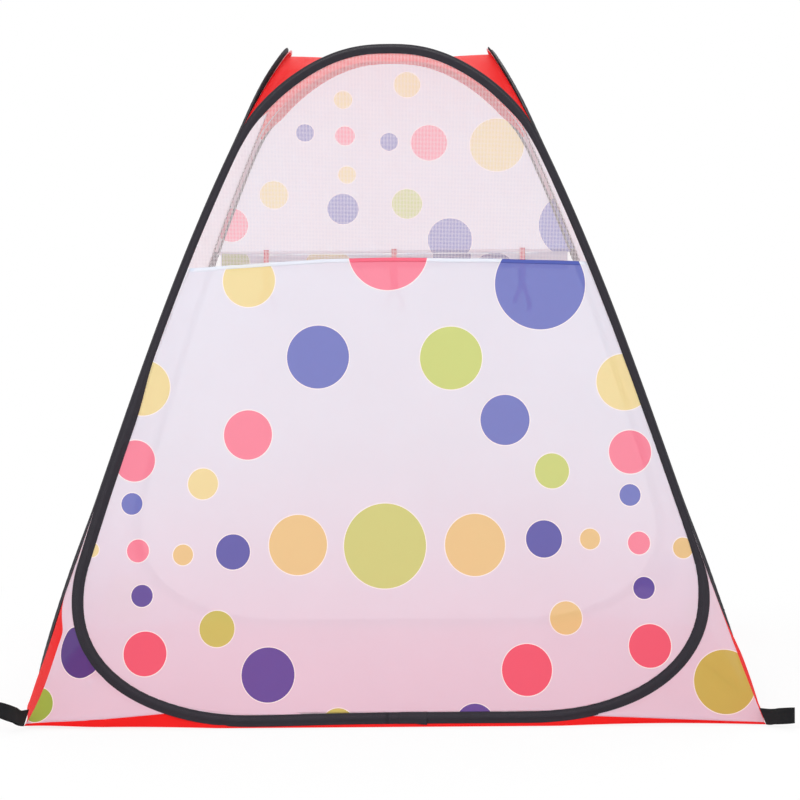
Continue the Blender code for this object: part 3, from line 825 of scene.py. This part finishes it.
def opening_grid(side, low, high, count):
    """Rows of the hoop's opening between two heights, with two columns at each side for the tuck."""
    line = inset_half(CLOTH_INSET - EDGE_TUCK)
    bottom, top = max(low, line[0, 1]), min(high, line[-1, 1])
    share = np.linspace(0, 1, count)
    if low < FOOT_TOP:
        share = share ** EDGE_CROWDING
    if high > ARCH_START:
        share = 1 - (1 - share) ** EDGE_CROWDING
    s = bottom + (top - bottom) * share
    outer = edge_at(s, CLOTH_INSET - EDGE_TUCK)
    across = (outer - edge_at(s, CLOTH_INSET)) / EDGE_TUCK
    share = np.linspace(0, 1, count // 2)
    halves = []
    for hand in (-1, 1):
        start, edge = band_edges(side, hand * outer, s)
        inner = np.maximum(0, outer - edge * across)[:, None]
        rim = (outer - np.maximum(0, start) * across)[:, None]
        half = np.concatenate([(inner - LINING) * share, inner + LINING, rim], axis=1)
        halves.append(hand * np.maximum(half, 0))
    u = np.concatenate([halves[0][:, :0:-1], halves[1]], axis=1)
    return u, np.repeat(s[:, None], u.shape[1], 1)


def hem_line(side, u):
    """Slope height of a hem's lower edge, which hangs a little at its ends at the front."""
    wave = HEM_WAVE * ripple(u * 14, 6.1)
    if side == "front":
        return SILL_SLANT - np.interp(u, *zip(*HEM_SAG)) + wave
    return SILL_SLANT + wave


def wall_cloth(name, side, low, high, slot, node, seed, count=90, size=CLOTH_WAVE, dots=None, hemmed=None):
    """A wall's cloth between two slope heights, tucked under the binding, and its hem if it has one."""
    u, s = opening_grid(side, low, high, count)
    across = np.clip((s - s.min()) / (s.max() - s.min()), 0, 1)
    if high == SILL_SLANT:
        s = s + (hem_line(side, u) + HEM_WIDTH / 2 - SILL_SLANT) * across ** 4
    elif low > 0.0:
        s = s + (hem_line(side, u) + HEM_WIDTH / 2 - low) * (1 - across) ** 4
    inward = inward_of_hoop(u, s)
    edge = band_edges(side, u, s)[1]
    # Cloth under the binding: it sits a little inward, glows less, and takes a brighter white that is painted
    # light
    lined_and_painted_light = (inward < edge).astype(float)
    slip = np.clip((inward - edge) / 0.02, 0, 1)
    depth = np.where(lined_and_painted_light > 0, -LINING, CLOTH / 2) + creased(u, s, seed, size) * slip
    piece = add_to_wall(name, side, (u, s, depth), joined(u, s, lined_and_painted_light), slot, node, dots=dots)
    declare_sheet(piece, with_pieces=[hem(side, *hemmed)] if hemmed else [])


def declare_sheet(piece, with_pieces=(), flat=None):
    """Work out a sheet's flat size, from the places on its own cloth if not given; the size is not kept."""
    place = places_on_cloth(piece.data)
    size = place.max(axis=0) - place.min(axis=0)
    flat = flat or (float(size[0]), float(size[1]))


def hem(side, node, dots):
    """The folded and stitched edge of a wall's cloth, a little fuller than the cloth itself."""
    share = np.linspace(-1, 1, 120)[:, None]
    width, height = np.array(HEM_PROFILE).T
    u = share * edge_at(SILL_SLANT + HEM_WIDTH * width, CLOTH_INSET - 0.012)
    s = hem_line(side, u) + HEM_SHOWN * width
    depth = (height * HEM_THICKNESS / HEM_FULLNESS) * np.clip((1 - np.abs(share)) / 0.05, 0.05, 1)
    # The hem is finished as partly doubled cloth, with painted light in its lighter white
    return add_to_wall(f"{side}_hem", side, (u, s, depth), joined(u, s, HEM_DOUBLED_AND_PAINTED_LIGHT), "print_cloth", node,
                       bar_faces(*u.shape), dots=dots)


# Corners

BILLOW = {"front": 0.0, "right": 0.006, "back": 0.002, "left": 0.003}
GUSSET_TUCK = 0.006
GUSSET_GAP = 0.0004
GUSSET_WAVE = 0.003
FRONT_RIGHT_RISE = 0.012
LOOSE_CORNER = np.array([-BASE_SIDE / 2, -BASE_SIDE / 2, 0.0])
CORNER_SLIP = np.array([0.015, 0.012, 0.004])
CORNER_REACH = 0.15
SEAM_SLIP = np.array([0.019, 0.005, 0.0])
SEAM_RISE = 0.27
# Each fold's two ends in the photograph's pixels, and its height
CREASES = {
    ("front", "right"): ((690, 652, 752, 704, 0.0060), (668, 690, 700, 712, 0.0030)),
    ("front", "left"): ((62, 690, 118, 672, 0.0040), (84, 640, 92, 700, 0.0040)),
}
CREASE_REACH = 0.006


def slipped(points):
    """Pull the front left corner of the cloth in a little, as it has settled in the photograph."""
    away = np.linalg.norm(points - LOOSE_CORNER, axis=-1) / CORNER_REACH
    return points + smooth_step(1 - away, 0, 1)[..., None] * CORNER_SLIP


def base_rise(side, hand):
    """How far the floor's edge is turned up beside the hoop's foot, least at the front right."""
    return FRONT_RIGHT_RISE if (side, hand) == ("front", "right") else GUSSET_BASE_RISE


def creases(side, hand, u, s):
    """Sharp folds across a corner's cloth, where the photograph shows them."""
    rise = np.zeros(u.shape)
    for x1, y1, x2, y2, size in CREASES.get((side, hand), ()):
        start, end = (np.array(seen_on_wall(x, y, side)[0]) for x, y in ((x1, y1), (x2, y2)))
        run, away = end - start, joined(u, s) - start
        share = np.clip((away @ run) / (run @ run), 0, 1)
        gap = np.linalg.norm(away - share[..., None] * run, axis=-1) / CREASE_REACH
        rise += size * np.exp(-gap) * np.sin(math.pi * np.clip(share, 0.02, 0.98))
    return rise


def gusset(side, hand, dots):
    """The corner cloth between the hoop's foot, the corner seam and the floor's turned-up edge."""
    rows, columns = 60, 24
    line_u, line_s = inset_half(GUSSET_TUCK).T
    corner_s, base_s = GUSSET_CORNER_RISE, HOOP_LIFT + base_rise(side, hand)
    s = corner_s + (FOOT_TOP - corner_s) * np.linspace(0, 1, rows) ** 1.25
    base_u, corner_u = float(np.interp(base_s, line_s, line_u)), half_width(corner_s)
    inner = np.where(s < base_s, corner_u + (base_u - corner_u) * (s - corner_s) / (base_s - corner_s),
                     np.interp(s, line_s, line_u))
    outer = half_width(s) - GUSSET_GAP
    free = smooth_step(outer - inner, 0.008, 0.045) * hump(s / SEAM_RISE)
    hidden = band_edges(side, inner if hand == "right" else -inner, s)[0] - SEAM_GAP
    inner = np.minimum(inner - 1.3 * np.maximum(0, hidden), outer - 0.0002)
    curve, corner = joined(inner, s), np.array([outer[0], corner_s])
    share = np.linspace(0, 1, columns)
    width = (outer - inner)[:, None]
    u, s = inner[:, None] + width * share, np.repeat(s[:, None], columns, 1)
    pulled = free[:, None] * share ** 1.5
    belly = np.sin(math.pi * share) * np.minimum(width, 0.15)
    fullness = np.minimum(1, 12 * belly)
    seed = 11.0 + 3 * order(side) + (1 if hand == "left" else 0)
    depth = -GUSSET_GAP + 0.02 * belly + creased(u, s, seed, GUSSET_WAVE) * fullness
    rise = hump((s - corner_s) / (FOOT_TOP - corner_s)) ** 0.8
    depth += BILLOW[side] * rise * fullness * np.minimum(1, width / 0.06)
    if hand == "left":
        u, s, depth, fullness, pulled = (part[:, ::-1] for part in (-u, s, depth, fullness, pulled))
    depth = depth + creases(side, hand, u, s) * fullness
    points, body = slipped(turned(wall_points(u, s, depth), side)), f"{side}_wall"
    if (side, hand) in (("front", "left"), ("left", "right")):
        points, body = points + pulled[..., None] * SEAM_SLIP, LOOSE_SEAM
    slot, dots = ("print_cloth", dots) if side in ("front", "back") else ("red_cloth", None)
    piece = add_piece(f"{side}_corner_{hand}", points, joined(u, s), slot, body, f"{side}_gusset_{hand}",
                      dots=dots)
    tips = float(np.linalg.norm(curve[-1] - curve[0]))
    across = float(np.linalg.norm(curve - corner, axis=1)[s[:, 0] > base_s].min())
    declare_sheet(piece, flat=(across, tips))


# Floor and roof

FOOT_BOW = 0.007
FOOT_BOW_FROM = 0.27
FOOT_BOW_LIFT = 0.3
FLOOR_LIFT = 0.0006
FLOOR_WAVE = 0.0022
EDGE_FOOT = 0.0007
EDGE_WAVE = 0.0025
ROOF_WAVE = 0.004
TURNDOWN_FROM = 0.006
TURNDOWN_WIDTH = CLOTH_INSET - 0.0045
TURNDOWN_DEPTH = -0.0009
TURNDOWN_WAVE = 0.0003


def foot_bow(side, u, share):
    """The floor's edge drawn inward, and a little up, between a corner and the hoop's foot."""
    amount = FOOT_BOW * hump((np.abs(u) - FOOT_BOW_FROM) / (BASE_SIDE / 2 - FOOT_BOW_FROM)) * share
    return amount[..., None] * turned((0.0, 1.0, FOOT_BOW_LIFT), side)


def floor_quarter(side):
    """A quarter of the floor, which flattens against its wall's foot as the tent folds."""
    rows, columns = 30, 60
    reach = half_width(0.0) + CLOTH * LEAN_COS
    out = np.linspace(0.001, 1, rows)[:, None]
    x, y = out * np.linspace(-1, 1, columns) * reach, np.repeat(-out * reach, columns, 1)
    flat = turned(joined(x, y, 0.0), side)
    wave = noise_at(joined(flat[..., 0] * 5, flat[..., 1] * 5, 3.1))
    flat[..., 2] = FLOOR_LIFT + FLOOR_WAVE * np.maximum(0, wave + 0.15) * (1 - out ** 6)
    piece = add_piece(f"{side}_floor", slipped(flat + foot_bow(side, x, out ** 8)), joined(x, y), "red_cloth",
                      f"{side}_wall", "floor" if side == "front" else None)
    declare_sheet(piece)
    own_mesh(piece)


def floor_edge(side):
    """The strip of floor cloth turned up at the wall's foot, loose enough to wave a little."""
    line = inset_half(0.004)
    foot, outer = line[0, 0], half_width(0.0)
    u = np.linspace(-outer, outer, 160)
    away = np.abs(u)
    tops = []
    for hand in ("left", "right"):
        high = HOOP_LIFT + base_rise(side, hand)
        beside = line[(line[:, 1] < high)][1:]
        end_u = float(np.interp(high, line[:, 1], line[:, 0]))
        places = [0, foot, *beside[:, 0], end_u, outer - 0.0003]
        rises = [HOOP_LIFT + 0.004] * 2 + [*(beside[:, 1] + 0.003), high + 0.002, GUSSET_CORNER_RISE]
        tops.append(np.interp(away, places, rises))
    share = np.linspace(0, 1, 7)[:, None]
    s = EDGE_FOOT + (np.where(u < 0, *tops) - EDGE_FOOT) * share
    reach = half_width(s) - 0.0004
    kept_u = np.clip(np.repeat(u[None], len(share), 0), -reach, reach)
    wave = ripple(u * 9, 31.0 + order(side)) * np.sin(math.pi * share) * EDGE_WAVE
    wave = wave * np.clip((outer - away) / 0.05, 0, 1)
    depth = CLOTH / 2 - 0.0006 * share + np.where(away < foot + 0.03, 0.0, 1.0) * wave
    points = slipped(turned(wall_points(kept_u, s, depth), side) + foot_bow(side, u, 1 - share))
    body = LOOSE_SEAM if side in ("front", "left") else f"{side}_wall"
    piece = add_piece(f"{side}_floor_edge_strip", points, joined(kept_u, s), "red_cloth", body,
                      f"{side}_floor_edge")
    declare_sheet(piece)


def arch_slope(share):
    across = np.abs(share) ** (1 / ARCH_FULLNESS)
    return ARCH_START + ARCH_RISE * np.sqrt(np.maximum(0.0, 1 - across * across)) - ROOF_DROP


def roof_points(p, q):
    """The roof between the four arches, where p and q run from -1 to 1 across it."""
    top, foot = height_at(arch_slope(0.0)), arch_slope(1.0)
    reach = half_width(arch_slope(p)) + half_width(arch_slope(q)) - half_width(foot) - EDGE_GAP - SEAM_GAP
    drop = top - height_at(foot)
    fall_p, fall_q = ((top - height_at(arch_slope(part))) / drop for part in (p, q))
    sag = ROOF_SAG * (1 - p * p) * (1 - q * q)
    return joined(p * reach, q * reach, top - drop * fall_p * fall_q - sag)


def roof_quarter(side):
    """A quarter of the roof, which flattens against its wall's arch as the tent folds."""
    rows, columns = 34, 50
    out = np.sin(np.linspace(0.0007, math.pi / 2, rows))[:, None]
    p, q = out * np.sin(np.linspace(-1, 1, columns) * math.pi / 2), np.repeat(-out, columns, 1)
    flat = roof_points(p, q)
    points = turned(flat, side)
    wave = noise_at(joined(points[..., 0] * 16, points[..., 1] * 16, 2.0))
    points[..., 2] -= ROOF_WAVE * np.abs(wave) * hump(out)
    piece = add_piece(f"{side}_roof", points, flat[..., :2], "red_cloth", f"{side}_wall",
                      "roof_cloth" if side == "front" else None)
    declare_sheet(piece)
    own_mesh(piece)


def roof_turndown(side):
    """The roof cloth's edge, turned down over the inside of the hoop's arch and sewn there."""
    turn = np.linspace(-1, 1, 120) * math.pi / 2
    s = ARCH_START + ARCH_RISE * np.cos(turn)
    line = joined(np.sign(turn) * half_width(s) * np.abs(np.sin(turn)) ** ARCH_FULLNESS, s)
    taper = 0.25 + 0.75 * smooth_step(math.pi / 2 - np.abs(turn), 0.0, 0.35)
    inset = TURNDOWN_FROM + TURNDOWN_WIDTH * taper[:, None] * np.linspace(0, 1, 6)
    u, s = set_in(line, -left_of(line), inset)
    depth = (TURNDOWN_DEPTH + TURNDOWN_WAVE * ripple(turn * 6, 51.0 + order(side)))[:, None]
    piece = add_to_wall(f"{side}_roof_turndown", side, (u, s, depth), joined(u, s), "red_cloth")
    declare_sheet(piece, flat=(TURNDOWN_WIDTH, float(lengths(line)[-1])))


# The rolled door and its ribbons

ROLL_TURNS = 12
ROLL_STEPS = 20
ROLL_END_SHOWN = 0.002
ROLL_END_FLARE = 0.005
ROLL_END_REACH = 0.07
ROLL_CORE = 0.003
ROLL_SLACK = 0.0007
PINCH_REACH = 0.03
ROLL_PLACE = SILL_SLANT - EDGE_GAP - RIBBON - EDGE_GAP - ROLL_RADIUS + 0.001, HEM_THICKNESS / 2
SLING_RADIUS = ROLL_RADIUS + 0.0006
SLING_TOP = (SILL_SLANT + 0.010, SILL_SLANT + 0.003)
TAIL_SPREAD = 0.012
SHORT_TAIL_LESS = 0.014
TAIL_WAVE = 0.003
TAIL_THICKNESS = 0.0006


def ribbon_places():
    reach = float(edge_at(SILL_SLANT, CLOTH_INSET)) * 2 * RIBBON_SPACING_SHARE
    return {"left": -reach, "middle": 0.0, "right": reach}


def rolled_door():
    """One long sheet wound round itself, drawn in where the ribbons hold it."""
    s, depth = ROLL_PLACE
    reach = float(edge_at(s, CLOTH_INSET)) - ROLL_END_SHOWN
    turn = np.linspace(0, 2 * math.pi * ROLL_TURNS, ROLL_TURNS * ROLL_STEPS + 1)[:, None]
    u = np.linspace(-reach, reach, 110)
    nearest = np.min([np.abs(u - place) for place in ribbon_places().values()], axis=0)
    drawn = ROLL_PINCH * np.clip(1 - nearest / PINCH_REACH, 0, 1) ** 2
    loose = ROLL_SLACK * ripple(u * 12, 5.5) - ROLL_SLACK
    flare = ROLL_END_FLARE * np.clip((np.abs(u) - reach + ROLL_END_REACH) / ROLL_END_REACH, 0, 1)
    share = turn / turn[-1]
    radius = ROLL_CORE + (ROLL_RADIUS - drawn + loose + flare - ROLL_CORE) * share
    flutter = 0.0005 * np.sin(turn * 1.7 + 9 * u) * share ** 3
    radius = np.minimum(radius + flutter, ROLL_RADIUS + flare)
    angle = turn + 0.9
    at_u = u * (1 + 0.004 * np.sin(turn / 3))
    steps = (radius[1:] + radius[:-1]).mean(axis=1) / 2 * np.diff(turn[:, 0])
    along = np.concatenate([[0], np.cumsum(steps)])
    place = at_u, s + radius * np.sin(angle), depth + radius * np.cos(angle)
    outer_turn = along[-1] - 0.75 * 2 * math.pi * ROLL_RADIUS - s
    dots = [((u, outer_turn + up), size, ink) for (u, up), size, ink in dots_on_wall(ROLL_DOTS, "back")]
    sheet = joined(at_u, along[:, None])
    piece = add_to_wall("door_roll", "back", place, sheet, "print_cloth", "rolled_door", dots=dots)
    declare_sheet(piece)


def ribbon_tail(name, place, hand):
    """One of a ribbon's two hanging ends, the left one longer."""
    drop = np.linspace(0, 1, 16)[:, None]
    tail = RIBBON_TAIL - (0.0 if hand < 0 else SHORT_TAIL_LESS)
    lean = TAIL_SPREAD * hand * drop + TAIL_WAVE * np.sin(drop * 7 + hand)
    u = place + lean + np.linspace(-0.5, 0.5, 4) * RIBBON_WIDTH * 0.9
    s = ROLL_PLACE[0] - SLING_RADIUS - tail * drop
    out = ROLL_PLACE[1] + 0.0025 * hand + TAIL_WAVE * np.sin(drop * 5)
    ring = turned(closed([wall_points(u, s, out + face * TAIL_THICKNESS / 2) for face in (1, -1)]), "back")
    sheet = joined(tail * drop, np.linspace(0, 0.02, 8))
    add_piece(f"ribbon_{name}_{'long' if hand < 0 else 'short'}_tail", ring, sheet, "ribbon", "back_wall",
              faces=bar_faces(*ring.shape[:2]))


def door_ribbon(name, place):
    """A sling over the hem and round the roll, with two tails that hang from under it."""
    s, depth = ROLL_PLACE
    face = HEM_THICKNESS / 2 + RIBBON
    turn = np.linspace(math.radians(60), math.radians(-240), 40)
    round_roll = joined(depth + SLING_RADIUS * np.cos(turn), s + SLING_RADIUS * np.sin(turn))
    path = np.concatenate([[(depth + face, up) for up in SLING_TOP], round_roll,
                           [(depth - face, up) for up in SLING_TOP[::-1]]])
    beside, along = left_of(path) * RIBBON / 2, lengths(path)
    out, up = np.concatenate([path + beside, (path - beside)[::-1]]).T
    u = (place + np.linspace(-0.5, 0.5, 5) * RIBBON_WIDTH)[:, None]
    sheet = joined(np.concatenate([along, along[::-1]]), u)
    add_to_wall(f"ribbon_{name}", "back", (u, up, out), sheet, "ribbon", f"door_ribbon_{name}",
                bar_faces(len(u), len(up)))
    for hand in (-1, 1):
        ribbon_tail(name, place, hand)


# Webbing loops

# Where each loop points, how far its end hangs up, and how far it is swung, in degrees
LOOPS = {"front_right": (-45, 8, 0), "back_right": (45, 5, 3), "back_left": (135, 3, -4),
         "front_left": (-135, 22, 12)}
LOOP_LIFT = 0.0005
LOOP_ROOT = 0.02


def peg_loop(name, angle, tilt, swing):
    """Webbing folded into a loop that stands on its edge, its two ends sewn into the corner."""
    turn = np.linspace(0.0, 2 * math.pi, 40)
    path = joined(PEG_LOOP_LENGTH * (1 - np.cos(turn)) / 2, PEG_LOOP_BULGE * np.sin(turn) * np.sin(turn / 2))
    path[0, 1], path[-1, 1] = WEBBING * 0.55, -WEBBING * 0.55
    beside = left_of(path)
    heights = np.linspace(0.0, 1.0, 7) * WEBBING_WIDTH
    layers = []
    for hand in (1, -1):
        x, y = (path + beside * hand * WEBBING / 2).T[..., None]
        lean_in = heights * math.tan(LEAN) * math.sqrt(2) * np.clip(1 - x / LOOP_ROOT, 0, 1)
        layers.append(joined(x - lean_in, y, LOOP_LIFT + heights))
    rows = closed(layers)
    tilt = math.radians(tilt) * np.clip(rows[..., 0] / LOOP_ROOT, 0, 1)
    rows[..., 2] += np.maximum(rows[..., 0], 0) * np.sin(tilt)
    rows = rows @ spun(swing).T
    rows[..., 0] += (half_width(0.0) + CLOTH * LEAN_COS) * math.sqrt(2) + 0.0005
    points = rows @ spun(angle).T
    if name == "front_left":
        points = points + CORNER_SLIP
    sheet = joined(lengths(path)[:, None], np.concatenate([heights, heights[::-1]]))
    add_piece(f"corner_loop_{name}", points, sheet, "webbing", f"{name}_loop", f"peg_loop_{name}",
              bar_faces(*rows.shape[:2]))


# Stage, light and camera

AMBIENT = 0.75
SHADOW_SHARE = 0.15
SHADOW_REACH = (0.9, 1.6)
GROUND_HALF = 30.0
GROUND_HEIGHT = -0.0006
LAMP_AIM = Vector((0, 0, 0.5))
LAMP_SIZE = 3.0
LAMPS = {"key": ((-2.2, -3.4, 3.6), 95.0), "fill": ((2.8, -3.0, 2.2), 40.0), "back": ((0.4, 3.6, 3.4), 70.0)}


def add_stage():
    """A white ground that keeps the tent's shadow near it and is plain white further off."""
    square = ((-1, -1), (1, -1), (1, 1), (-1, 1))
    corners = [(x * GROUND_HALF, y * GROUND_HALF, GROUND_HEIGHT) for x, y in square]
    mesh = bpy.data.meshes.new("ground")
    mesh.from_pydata(corners, [], [(0, 1, 2, 3)])
    ground = bpy.data.objects.new("ground", mesh)
    bpy.context.collection.objects.link(ground)
    graph = Graph("ground")
    lit = graph.add("BsdfDiffuse", {"Color": GROUND_GREY}).outputs[0]
    white = graph.add("Emission", {"Color": WHITE, "Strength": 1.0}).outputs[0]
    place = graph.add("NewGeometry").outputs["Position"]
    away = graph.add("VectorMath", {0: place}, operation="LENGTH").outputs["Value"]
    near = graph.smooth_range(away, *SHADOW_REACH, SHADOW_SHARE, 0.0)
    share = graph.math("MULTIPLY", graph.seen(), graph.math("SUBTRACT", 1.0, near))
    mesh.materials.append(graph.finish(graph.mix_shaders(share, lit, white)))


def add_world():
    """Soft white light from all round, seen as plain white."""
    graph = Graph("studio", world=True)
    soft, white = (graph.add("Background", {"Color": WHITE, "Strength": strength}).outputs[0]
                   for strength in (AMBIENT, 1.0))
    bpy.context.scene.world = graph.finish(graph.mix_shaders(graph.seen(), soft, white))


def add_lamps():
    for name, (place, power) in LAMPS.items():
        data = bpy.data.lights.new(name, "AREA")
        data.size = LAMP_SIZE
        data.energy = power
        lamp = bpy.data.objects.new(name, data)
        lamp.location = place
        lamp.rotation_euler = (LAMP_AIM - Vector(place)).to_track_quat("-Z", "Y").to_euler()
        bpy.context.collection.objects.link(lamp)


def add_cloths():
    """The four walls' cloths, the net and the hems."""
    front_dots, back_dots = dots_on_wall(FRONT_DOTS, "front"), dots_on_wall(BACK_DOTS, "back")
    hem_dots = [(place, radius, doubled(ink)) for place, radius, ink in front_dots[FRONT_HEM_DOTS]]
    wall_cloth("front_cloth", "front", 0.0, SILL_SLANT, "print_cloth", "front_wall_cloth", 1.3,
               dots=front_dots, hemmed=("front_window_hem", hem_dots))
    wall_cloth("window_net", "front", WINDOW_FOOT, SLANT, "net", "front_window_net", 2.1, 60, NET_WAVE)
    wall_cloth("back_cloth", "back", WINDOW_FOOT, SLANT, "print_cloth", "back_wall_cloth", 5.7, 60,
               dots=back_dots, hemmed=("back_door_hem", back_dots))
    for side, seed in (("left", 7.9), ("right", 9.4)):
        wall_cloth(f"{side}_cloth", side, 0.0, SLANT, "plain_cloth", f"{side}_wall_cloth", seed)


def build():
    corner_dots = dots_on_wall(CORNER_DOTS, "front")
    for side in SIDES:
        hoop_sleeve(side)
        sleeve_lap(side)
        floor_edge(side)
        for hand in ("left", "right"):
            gusset(side, hand, corner_dots)
    add_cloths()
    rolled_door()
    for name, place in ribbon_places().items():
        door_ribbon(name, place)
    for side in SIDES:
        floor_quarter(side)
        roof_quarter(side)
        roof_turndown(side)
    for name, turns in LOOPS.items():
        peg_loop(name, *turns)
    for side, hand, body in (("front", -1, "front_wall"), ("front", 1, "front_wall"),
                             ("back", -1, "right_wall"), ("back", 1, "back_wall")):
        seam_cord(side, hand, body)
    for node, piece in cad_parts.items():
        if node.endswith("_wire_ferrule"):
            for slot in piece.material_slots:
                slot.link = "OBJECT"
                slot.material = MATERIALS["spring_steel"]


add_camera()
add_world()
add_lamps()
add_stage()
build()

bpy.context.scene.view_settings.view_transform = "Standard"
